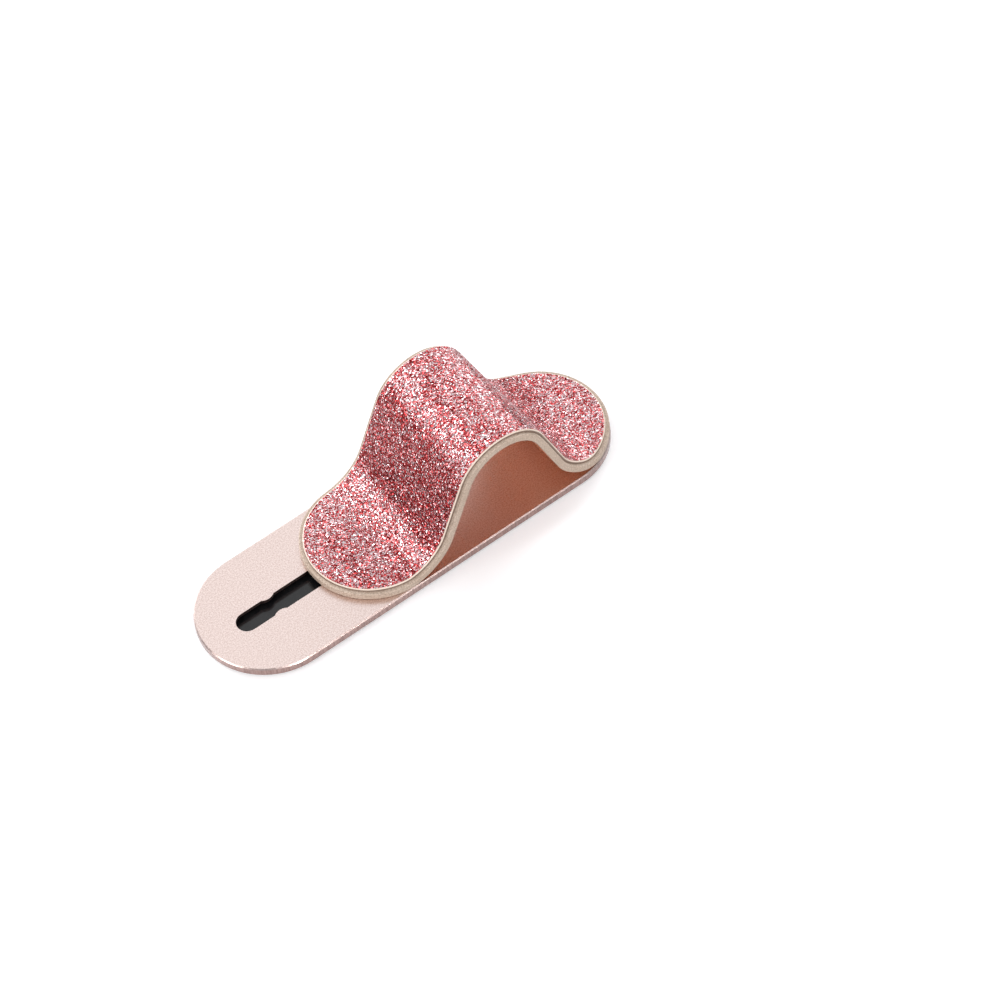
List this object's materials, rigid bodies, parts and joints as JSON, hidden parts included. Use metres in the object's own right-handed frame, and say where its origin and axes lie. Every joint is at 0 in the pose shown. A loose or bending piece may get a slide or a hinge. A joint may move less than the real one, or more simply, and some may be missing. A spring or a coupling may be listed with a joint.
{
  "type": "phone finger grip",
  "caption": "Slim stadium plate with a slotted slide and a flexible strap arched into a finger loop, for the back of a handheld device.",
  "frame": {"origin": "on the underside of the adhesive pad, below the middle of the plate", "axes": "+X along the plate towards the strap's fixed end, +Y across the plate, +Z out of the plate towards the finger loop"},
  "size_m": [0.0822, 0.0252, 0.0243],
  "materials": {
    "plate_metal": "fine blasted rose anodising",
    "pad_tape": "black adhesive tape",
    "strap_rubber": "satin cream",
    "strap_glitter": "pink and silver glitter",
    "stud_steel": "plain",
    "shoe_plastic": "moulded"
  },
  "bodies": {
    "plate": {"base_plate": "plate_metal", "adhesive_pad": "pad_tape", "strap_backing": "strap_rubber", "glitter_facing": "strap_glitter", "fixed_stud": "stud_steel", "fixed_washer": "stud_steel"},
    "slider": {"slider_stud": "stud_steel", "slider_shoe": "shoe_plastic"}
  },
  "joints": [
    {"name": "slider_slide", "type": "slide", "parent": "plate", "child": "slider", "axis": [-1, 0, 0], "range_m": [0, 0.0214], "deforming": ["strap_backing", "glitter_facing"]}
  ]
}
